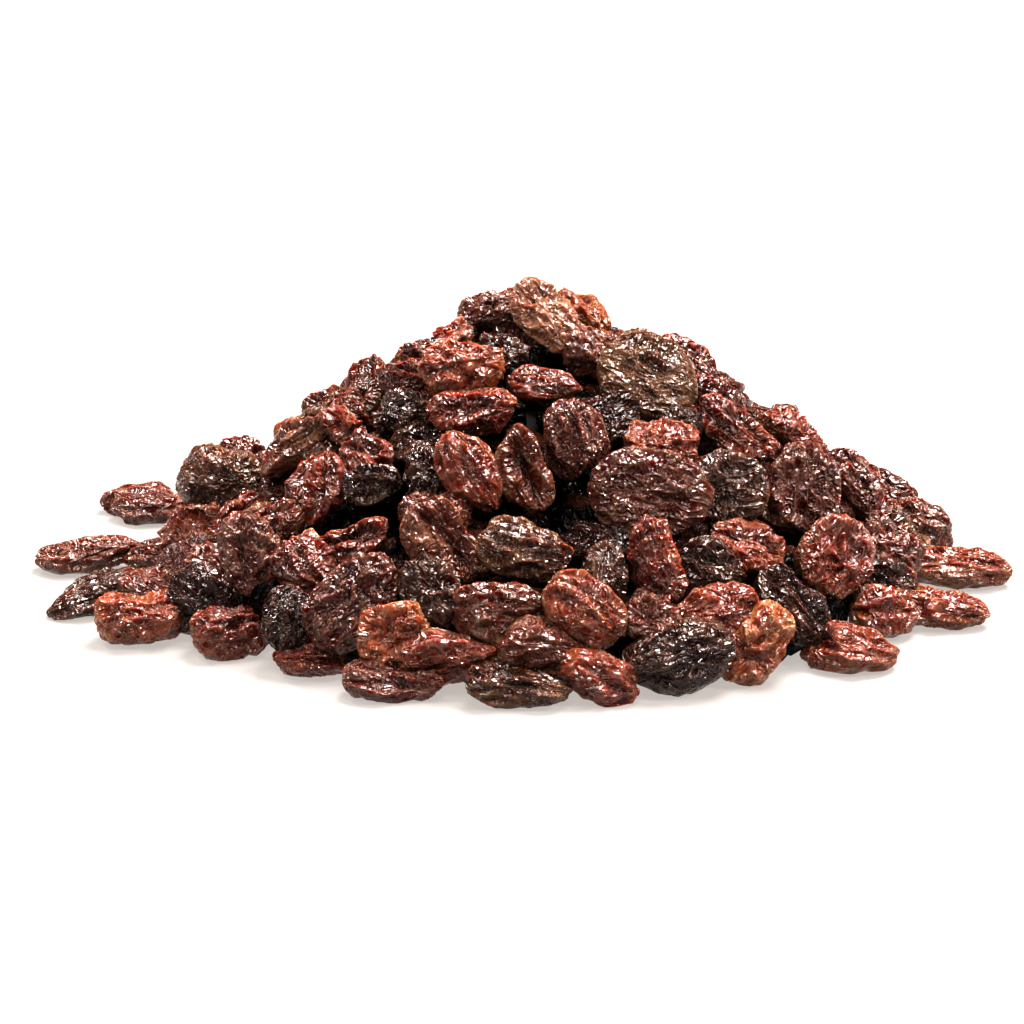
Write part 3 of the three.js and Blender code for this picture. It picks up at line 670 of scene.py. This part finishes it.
# A group of raisins as arrays. Each point of the plain skin moves outwards by the height of its fold.
# Those on the table are flattened towards it, and those of the front are pushed back along the sight line,
# by the lowering over the tangent of its drop, so that they still show where they did.
def raisinCloud(group, around, along):
    directions, quads, caps = ballGrid(around, along)
    count = len(directions)
    local = np.concatenate([skinPoints(directions, r) * bluntEnds(directions, forms[r["form"]]["blunt"])
                            for r in group])
    shifts = []
    tints = []
    for raisin in group:
        draw = drawFrom(raisin["seed"] + seeds["wrinkles"])
        shifts.append([draw() * wrinkle["shift"], draw() * wrinkle["shift"], draw() * wrinkle["shift"]])
        tints.append(draw())

    def each(values):
        return np.repeat(np.array(values, float), count, axis=0)

    def ofForm(key):
        return each([forms[r["form"]][key] for r in group])

    sizes = each([sizeOf(r) for r in group])
    flatness = np.abs(np.tile(directions[:, 2], len(group)))
    # the rim mask keeps the folds lower at the outline and also paints the rims lighter, a painted glow of
    # light through the thin skin
    rim = 1 - smoothStep(*wrinkle["rim"], flatness)
    own = foldSpace(local, sizes, ofForm("pinch")) + each(shifts)
    height, foldShade = foldsOf(own, ofForm("lengthways"), rim)
    height *= ofForm("folds")
    wavy = np.stack([local[:, 0], local[:, 1] + cloudNoise(own / wrinkle["grooveWave"]), local[:, 2]], 1)
    groove = grooveAt(wavy, sizes, ofForm("groove"))
    height -= groove
    # painted shade in the groove
    foldShade -= wrinkle["grooveShade"] * groove
    outwards = local / (sizes / 2) ** 2
    outwards /= np.linalg.norm(outwards, axis=1)[:, None]
    facingUp = (outwards * each([r["axes"][:, 2] for r in group])).sum(1)
    # painted light on the up-facing tops of the front beneath raisins and painted shade on the rest of them;
    # the others keep the rim's painted glow
    top = smoothStep(beneath["topFrom"], beneath["topFull"], facingUp) * beneath["topLight"] - beneath["dark"]
    light = np.where(each([r.get("inFront", False) for r in group]) > 0, top, rim)
    raised = (local + outwards * height[:, None]) * heap["drawnSize"]
    places = np.einsum("ni,nij->nj", raised, each([r["axes"] for r in group]))
    places += each([r["middle"] for r in group])
    lowered = [(1 - heap["drawnSize"]) * r["middle"][2] * r["onTable"] for r in group]
    flattened = [forms[r["form"]]["lying"] if r["onTable"] else 1 for r in group]
    places[:, 2] = np.maximum((places[:, 2] - each(lowered)) * each(flattened), 0)
    pushed = [(1 - f) * r["middle"][2] * r["bySight"] * heap["pushedBack"] / math.tan(sight["drop"])
              for f, r in zip(flattened, group)]
    places[:, 1] += each(pushed)
    starts = (np.arange(len(group)) * count)[:, None, None]
    return dict(
        places=places * mm,
        quads=(quads[None] + starts).reshape(-1, 4),
        caps=(caps[None] + starts).reshape(-1, 3),
        foldShade=foldShade,
        rim=light,
        tint=each(tints),
        own=own,
    )


# One mesh from several groups, with the folds' painted highlight and shade, the rims' painted glow, on the
# front beneath raisins painted top light and shade instead, the tints and own coordinates as attributes.
def meshFrom(name, clouds):
    starts = np.cumsum([0] + [len(c["places"]) for c in clouds])
    faces = [(c["quads"] + s).ravel() for c, s in zip(clouds, starts)]
    faces += [(c["caps"] + s).ravel() for c, s in zip(clouds, starts)]
    corners = np.concatenate(faces)
    sizes = np.concatenate([np.full(sum(len(c["quads"]) for c in clouds), 4),
                            np.full(sum(len(c["caps"]) for c in clouds), 3)])
    places = np.vstack([c["places"] for c in clouds])
    mesh = bpy.data.meshes.new(name)
    mesh.vertices.add(len(places))
    mesh.vertices.foreach_set("co", places.ravel())
    mesh.loops.add(len(corners))
    mesh.loops.foreach_set("vertex_index", corners.astype(np.int32))
    mesh.polygons.add(len(sizes))
    mesh.polygons.foreach_set("loop_start", (np.cumsum(sizes) - sizes).astype(np.int32))
    mesh.polygons.foreach_set("use_smooth", np.ones(len(sizes), bool))
    mesh.update(calc_edges=True)
    for key in ("foldShade", "rim", "tint"):
        values = np.concatenate([c[key] for c in clouds]).astype(np.float32)
        mesh.attributes.new(key, "FLOAT", "POINT").data.foreach_set("value", values)
    own = np.concatenate([c["own"] for c in clouds]).astype(np.float32)
    mesh.attributes.new("own", "FLOAT_VECTOR", "POINT").data.foreach_set("vector", own.ravel())
    mesh.validate()
    piece = bpy.data.objects.new(name, mesh)
    bpy.context.scene.collection.objects.link(piece)
    print(name, "triangles", int((sizes - 2).sum()))
    return piece


# Colours of the skin: deep in its hollows, as painted shade, mid on its facets, and light on crests, as
# painted highlight, and on thin rims, as a painted glow of light through them.
# glow: how much light goes through. rough: how dull it is. grain: how grainy. shine: how strongly it
# reflects. paintedHighlight: share of the painted highlights on the crests and of the painted glints.
tones = dict(
    # painted shade: near black, for the raisins beneath that show in the front gaps
    gapShade=dict(deep=(0.0007, 0.0003, 0.0002), mid=(0.002, 0.0007, 0.0004), light=(0.045, 0.013, 0.0065),
                glow=0, rough=0.4, grain=1, shine=0.15, paintedHighlight=0),
    # a dark raisin tone, kept darker than the outer raisins as painted shade, for the raisins beneath away
    # from the front
    underShade=dict(deep=(0.016, 0.001, 0.0005), mid=(0.036, 0.0038, 0.0013), light=(0.065, 0.02, 0.01),
              glow=0.5, rough=0.1, grain=1, shine=0.8, paintedHighlight=0.4),
    # painted shade: near black, for the sunk raisins in the front gaps
    shade=dict(deep=(0.0051, 0.0004, 0.0002), mid=(0.0096, 0.0012, 0.0006), light=(0.0225, 0.0057, 0.0024),
               glow=0.4, rough=0.1, grain=1.2, shine=0.5, paintedHighlight=0.1),
    tan=dict(deep=(0.06, 0.011, 0.005), mid=(0.135, 0.043, 0.022), light=(0.24, 0.125, 0.072),
             glow=0.7, rough=0.13, grain=1, shine=1, paintedHighlight=1),
    amber=dict(deep=(0.072, 0.0045, 0.0007), mid=(0.172, 0.031, 0.006), light=(0.245, 0.105, 0.036),
               glow=0.8, rough=0.11, grain=1.2, shine=1, paintedHighlight=1),
    russet=dict(deep=(0.044, 0.0024, 0.0008), mid=(0.116, 0.0115, 0.0028), light=(0.155, 0.053, 0.025),
                glow=0.8, rough=0.1, grain=0.8, shine=1, paintedHighlight=1),
    garnet=dict(deep=(0.031, 0.0014, 0.0006), mid=(0.094, 0.0065, 0.0016), light=(0.1425, 0.0329, 0.0168),
                glow=0.8, rough=0.08, grain=0.6, shine=1, paintedHighlight=1),
    cocoa=dict(deep=(0.028, 0.0024, 0.0006), mid=(0.074, 0.01, 0.0018), light=(0.12, 0.0499, 0.0228),
               glow=0.7, rough=0.13, grain=1.3, shine=0.9, paintedHighlight=0.6),
    plum=dict(deep=(0.028, 0.0014, 0.0006), mid=(0.055, 0.005, 0.0016), light=(0.08, 0.0238, 0.0132),
              glow=0.7, rough=0.09, grain=0.7, shine=1, paintedHighlight=1),
    coal=dict(deep=(0.0076, 0.0005, 0.0002), mid=(0.016, 0.0024, 0.0012), light=(0.0475, 0.017, 0.0084),
              glow=0.4, rough=0.08, grain=1.2, shine=0.9, paintedHighlight=0.4),
    olive=dict(deep=(0.015, 0.0024, 0.0007), mid=(0.04, 0.0085, 0.0022), light=(0.09, 0.0425, 0.018),
               glow=0.7, rough=0.13, grain=1.4, shine=1, paintedHighlight=0.6),
)
# The fine relief of the skin: creases that run lengthways, a net of creases, and grain. step: how far apart,
# swing: height in mm of a full swing of the noise, crest: height in mm of the thin line on top. crestWidth:
# its width as a share of the noise. crinkled: from smooth patches to crumpled ones, how much of the net,
# grain and painted glints shows. paintedCrestHighlight, paintedGlint: how much of the painted highlight
# colour lies on crests and in painted glints.
relief = dict(
    along=dict(step=2.2, swing=1.9, crest=0.22),
    net=dict(step=1.25, swing=1.1, crest=0.14),
    grain=dict(step=0.45, swing=0.2),
    lengthways=2.2,
    crestWidth=0.075,
    paintedHighlightColour=(0.45, 0.29, 0.22),
    paintedCrestHighlight=0.13,
    paintedGlint=0.28,
    paintedGlintStep=0.42,
    patchStep=7,
    crinkleStep=4,
    crinkled=(0.35, 1.8),
    speckleStep=0.5,
)
# How much each of these adds to the lightness of the skin, from start. Its ramp of colours leaves deep at
# deepAt, is mid at midAt and ends light at 1.
# Of these, the folds and rims add painted highlight, painted shade and painted glow, and the two kinds of
# crease make the skin darker away from their crests, painted shade in their hollows; the patches, speckles
# and tint are the skin's own colour.
lightness = dict(start=-0.58, patch=1.0, foldShade=0.3, along=-0.9, net=-0.7, rim=0.3, speckle=0.9, tint=0.4,
                 deepAt=0.2, midAt=0.57)
# The skin's shine and what goes through it. throughReach: in mm for red, green and blue.
skin = dict(smoothest=0.03, through=0.8, throughReach=(1.0, 0.25, 0.08), throughScale=2.0,
            bend=1.46, mirrorTint=(1.0, 0.95, 0.92), mirror=0.34, coat=0.27, coatRough=0.025)


def addNode(tree, kind, settings=None, inputs=None):
    node = tree.nodes.new(kind)
    for key, value in (settings or {}).items():
        setattr(node, key, value)
    for key, value in (inputs or {}).items():
        node.inputs[key].default_value = value
    return node


def addMath(tree, operation, first, second, third=None):
    node = addNode(tree, "ShaderNodeMath", dict(operation=operation))
    for socket, value in zip(node.inputs, (first, second, third)):
        if value is None:
            continue
        if isinstance(value, (int, float)):
            socket.default_value = value
        else:
            tree.links.new(value, socket)
    return node.outputs[0]


def raisinSkin(name, tone):
    material = bpy.data.materials.new(name)
    material.use_nodes = True
    tree = material.node_tree
    link = tree.links.new
    shader = tree.nodes["Principled BSDF"]

    def attribute(key, output="Fac"):
        return addNode(tree, "ShaderNodeAttribute", dict(attribute_name=key)).outputs[output]

    own = attribute("own", "Vector")
    foldShade, rim, tint = attribute("foldShade"), attribute("rim"), attribute("tint")
    drawn = addNode(tree, "ShaderNodeVectorMath", dict(operation="MULTIPLY"))
    link(own, drawn.inputs[0])
    drawn.inputs[1].default_value = (1 / relief["lengthways"], 1, 1)

    def noise(step, detail, rough, where=own, bent=0.0):
        node = addNode(tree, "ShaderNodeTexNoise", None,
                       dict(Scale=1 / step, Detail=detail, Roughness=rough, Distortion=bent))
        link(where, node.inputs["Vector"])
        return node.outputs["Fac"]

    # from the first value to the second while the source goes through the span
    def eased(source, span, first, second):
        node = addNode(tree, "ShaderNodeMapRange", dict(interpolation_type="SMOOTHSTEP"),
                       {"From Min": span[0], "From Max": span[1], "To Min": first, "To Max": second})
        link(source, node.inputs["Value"])
        return node.outputs["Result"]

    # a crease: sharp on top where the noise is 0.5, with a thin line along the top
    def crease(size, where, height):
        offset = addMath(tree, "SUBTRACT", noise(size["step"], 1.0, 0.5, where, 0.3), 0.5)
        away = addMath(tree, "ABSOLUTE", offset, None)
        line = eased(away, (0.0, relief["crestWidth"]), 1.0, 0.0)
        height = addMath(tree, "MULTIPLY_ADD", away, -size["swing"], height)
        return away, line, addMath(tree, "MULTIPLY_ADD", line, size["crest"], height)

    patch = noise(relief["patchStep"], 2.0, 0.5)
    crinkled = eased(noise(relief["crinkleStep"], 1.0, 0.5), (0.4, 0.58), *relief["crinkled"])
    speckle = noise(relief["speckleStep"], 2.0, 0.6)
    along, alongLine, height = crease(relief["along"], drawn.outputs[0], 0.0)
    net, netLine, fine = crease(relief["net"], own, 0.0)
    grain = noise(relief["grain"]["step"], 1.0, 0.5)
    # patches, speckles and the raisin's own tint are its own colour; the creases and folds add painted shade
    # in their hollows and painted highlight on their crests, and the rims a painted glow, all adding up to
    # how light the skin is
    parts = dict(patch=patch, foldShade=foldShade, along=along, net=net, rim=rim, speckle=speckle, tint=tint)
    sumUp = lightness["start"]
    for key, source in parts.items():
        sumUp = addMath(tree, "MULTIPLY_ADD", source, lightness[key], sumUp)
    ramp = addNode(tree, "ShaderNodeValToRGB")
    link(sumUp, ramp.inputs["Fac"])
    stops = ramp.color_ramp.elements
    stops[0].position = lightness["deepAt"]
    stops[0].color = (*tone["deep"], 1)
    stops[1].position = 1.0
    stops[1].color = (*tone["light"], 1)
    middleStop = stops.new(lightness["midAt"])
    middleStop.color = (*tone["mid"], 1)
    # painted highlights: the crests of the creases are painted lighter, and so are painted glints scattered
    # over the crinkled patches
    crests = addMath(tree, "MULTIPLY_ADD", netLine, 0.5, alongLine)
    paintedGlint = eased(noise(relief["paintedGlintStep"], 1.0, 0.6), (0.58, 0.7), 0.0, relief["paintedGlint"] * tone["paintedHighlight"])
    paintedGlints = addMath(tree, "MULTIPLY", paintedGlint, crinkled)
    paintedHighlight = addNode(tree, "ShaderNodeMix", dict(data_type="RGBA"))
    paintedHighlightMask = addMath(tree, "MULTIPLY_ADD", crests, relief["paintedCrestHighlight"] * tone["paintedHighlight"], paintedGlints)
    link(paintedHighlightMask, paintedHighlight.inputs["Factor"])
    link(ramp.outputs["Color"], paintedHighlight.inputs["A"])
    paintedHighlight.inputs["B"].default_value = (*relief["paintedHighlightColour"], 1)
    link(paintedHighlight.outputs["Result"], shader.inputs["Base Color"])

    rough = addNode(tree, "ShaderNodeMapRange", None, {"To Min": skin["smoothest"], "To Max": tone["rough"]})
    link(patch, rough.inputs["Value"])
    link(rough.outputs["Result"], shader.inputs["Roughness"])

    fine = addMath(tree, "MULTIPLY_ADD", grain, relief["grain"]["swing"] * tone["grain"], fine)
    height = addMath(tree, "MULTIPLY_ADD", fine, crinkled, height)
    bump = addNode(tree, "ShaderNodeBump", None, dict(Strength=1.0, Distance=mm))
    link(height, bump.inputs["Height"])
    link(bump.outputs["Normal"], shader.inputs["Normal"])
    link(bump.outputs["Normal"], shader.inputs["Coat Normal"])

    shader.inputs["Subsurface Weight"].default_value = skin["through"] * tone["glow"]
    shader.inputs["Subsurface Radius"].default_value = skin["throughReach"]
    shader.inputs["Subsurface Scale"].default_value = skin["throughScale"] * mm
    shader.inputs["IOR"].default_value = skin["bend"]
    shader.inputs["Specular Tint"].default_value = (*skin["mirrorTint"], 1)
    shader.inputs["Specular IOR Level"].default_value = skin["mirror"] * tone["shine"]
    shader.inputs["Coat Weight"].default_value = skin["coat"] * tone["shine"]
    shader.inputs["Coat Roughness"].default_value = skin["coatRough"]
    return material


# Sides of each raisin, round it and along it.
detail = dict(front=(68, 42), back=(48, 28), beneath=(20, 12), under=(26, 16))
# the raisins beneath in front take a near-black tone and those elsewhere a darker one, both painted shade
tonesBelow = dict(beneath="gapShade", under="underShade")


def dress(piece, toneName):
    piece.data.materials.append(raisinSkin("skin_" + toneName, tones[toneName]))
    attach(piece, "root")


for toneName in tones:
    if toneName in tonesBelow.values():
        continue
    clouds = []
    for bySight, sides in ((True, detail["front"]), (False, detail["back"])):
        group = [r for r in raisins if r["tone"] == toneName and r["bySight"] == bySight]
        if group:
            clouds.append(raisinCloud(group, *sides))
    piece = meshFrom("raisins_" + toneName, clouds)
    dress(piece, toneName)
    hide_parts("raisin_heap")
lower = raisinsBeneath()
for name, toneName in tonesBelow.items():
    group = [r for r in lower if r["inFront"] == (name == "beneath")]
    dress(meshFrom("raisins_" + name, [raisinCloud(group, *detail[name])]), toneName)


# The heart of the heap: the bed's own curve lowered, turned about the upright axis, closed underneath and
# narrowed as the bed is.
# painted shade: the heart is near black where the gaps show into the heap
heart = dict(around=72, rings=24, depth=9, within=6, lowest=0.1, mottle=300.0, dark=(0.002, 0.001, 0.001),
             light=(0.01, 0.004, 0.003), rough=0.7, mirror=0.05)


def heartMaterial():
    material = bpy.data.materials.new("heap_inside_shade")
    material.use_nodes = True
    tree = material.node_tree
    shader = tree.nodes["Principled BSDF"]
    place = addNode(tree, "ShaderNodeTexCoord")
    mottle = addNode(tree, "ShaderNodeTexNoise", None, dict(Scale=heart["mottle"], Detail=2.0))
    tree.links.new(place.outputs["Object"], mottle.inputs["Vector"])
    ramp = addNode(tree, "ShaderNodeValToRGB")
    tree.links.new(mottle.outputs["Fac"], ramp.inputs["Fac"])
    ramp.color_ramp.elements[0].color = (*heart["dark"], 1)
    ramp.color_ramp.elements[1].color = (*heart["light"], 1)
    tree.links.new(ramp.outputs["Color"], shader.inputs["Base Color"])
    shader.inputs["Roughness"].default_value = heart["rough"]
    shader.inputs["Specular IOR Level"].default_value = heart["mirror"]
    return material


def heapHeart():
    around, rings = heart["around"], heart["rings"]
    radius = np.linspace(0.0, heap["coreRim"] - heart["within"], rings)[1:]
    azimuth = 2 * np.pi * np.arange(around) / around
    r, a = np.meshgrid(radius, azimuth, indexing="ij")
    height = np.maximum(bedHeight(r) - heart["depth"], heart["lowest"])
    x, y = r * np.cos(a), r * np.sin(a)
    rows = np.stack([x / narrowing(x, y), y, height], -1).reshape(-1, 3)
    places = np.vstack([[[0, 0, heap["peakHeight"] - heart["depth"]]], rows]) * mm
    step = np.arange(around)
    nextOn = (step + 1) % around
    faces = np.stack([0 * step, 1 + step, 1 + nextOn], 1).tolist()
    for i in range(rings - 2):
        inner = 1 + i * around
        outer = inner + around
        faces += np.stack([inner + step, outer + step, outer + nextOn, inner + nextOn], 1).tolist()
    faces.append((1 + (rings - 2) * around + step[::-1]).tolist())
    mesh = bpy.data.meshes.new("heap_heart")
    mesh.from_pydata(places.tolist(), [], faces)
    mesh.update()
    mesh.materials.append(heartMaterial())
    piece = bpy.data.objects.new("heap_heart", mesh)
    bpy.context.scene.collection.objects.link(piece)
    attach(piece, "root")


heapHeart()
print("heart made")

# The table gives back little light and glows instead, so that it is white and puts no veil on the raisins.
# Its side and how far it lies below the heap are in metres.
studio = dict(tableSide=8.0, tableBelow=0.0001, tableColour=(0.1, 0.099, 0.098), tableRough=0.5,
              tableGlow=0.48, glowColour=(1, 0.925, 0.87), worldLight=0.01, lampColour=(1.0, 0.95, 0.91),
              exposure=0.25, gamma=0.83)
# Where each lamp stands as seen from the heap (degrees round from the right, degrees up), how many degrees
# wide it looks and how strong it is. The wide ones give the facets their soft sheen, the small ones glints.
lamps = dict(
    overhead=dict(round=55, up=62, wide=28, strength=9.9),
    zenith=dict(round=270, up=76, wide=26, strength=2.85),
    behind=dict(round=128, up=42, wide=7, strength=1.95),
    sideLeft=dict(round=186, up=33, wide=5, strength=2.25),
    sideRight=dict(round=350, up=36, wide=5, strength=3.6),
    front=dict(round=258, up=30, wide=4, strength=0.38),
)


def tableTop():
    half = studio["tableSide"] / 2
    z = -studio["tableBelow"]
    mesh = bpy.data.meshes.new("table")
    corners = [(-half, -half, z), (half, -half, z), (half, half, z), (-half, half, z)]
    mesh.from_pydata(corners, [], [(0, 1, 2, 3)])
    table = bpy.data.objects.new("table", mesh)
    bpy.context.scene.collection.objects.link(table)
    material = bpy.data.materials.new("table_white")
    material.use_nodes = True
    shader = material.node_tree.nodes["Principled BSDF"]
    shader.inputs["Base Color"].default_value = (*studio["tableColour"], 1)
    shader.inputs["Roughness"].default_value = studio["tableRough"]
    shader.inputs["Emission Color"].default_value = (*studio["glowColour"], 1)
    shader.inputs["Emission Strength"].default_value = studio["tableGlow"]
    mesh.materials.append(material)


def lightUp():
    world = bpy.data.worlds.new("studio")
    bpy.context.scene.world = world
    world.use_nodes = True
    world.node_tree.nodes["Background"].inputs["Color"].default_value = (1, 1, 1, 1)
    world.node_tree.nodes["Background"].inputs["Strength"].default_value = studio["worldLight"]
    for name, lamp in lamps.items():
        light = bpy.data.lights.new(name, "SUN")
        light.angle = math.radians(lamp["wide"])
        light.energy = lamp["strength"]
        light.color = studio["lampColour"]
        stand = bpy.data.objects.new(name, light)
        azimuth, up = math.radians(lamp["round"]), math.radians(lamp["up"])
        towards = Vector((math.cos(up) * math.cos(azimuth), math.cos(up) * math.sin(azimuth), math.sin(up)))
        stand.rotation_euler = towards.to_track_quat("Z", "Y").to_euler()
        bpy.context.scene.collection.objects.link(stand)


def camera():
    lens = bpy.data.cameras.new("camera")
    lens.sensor_width = 36
    frameWidth = sight["picture"] / sight["pixelsPerMm"]
    lens.lens = lens.sensor_width * sight["distance"] / frameWidth
    lens.clip_start = 0.01
    seer = bpy.data.objects.new("camera", lens)
    seer.location = Vector(eye * mm)
    seer.rotation_euler = Vector(-toEye).to_track_quat("-Z", "Y").to_euler()
    bpy.context.scene.collection.objects.link(seer)
    bpy.context.scene.camera = seer


tableTop()
lightUp()
camera()
viewing = bpy.context.scene.view_settings
viewing.view_transform = "Standard"
viewing.exposure = studio["exposure"]
viewing.gamma = studio["gamma"]
print("studio set")
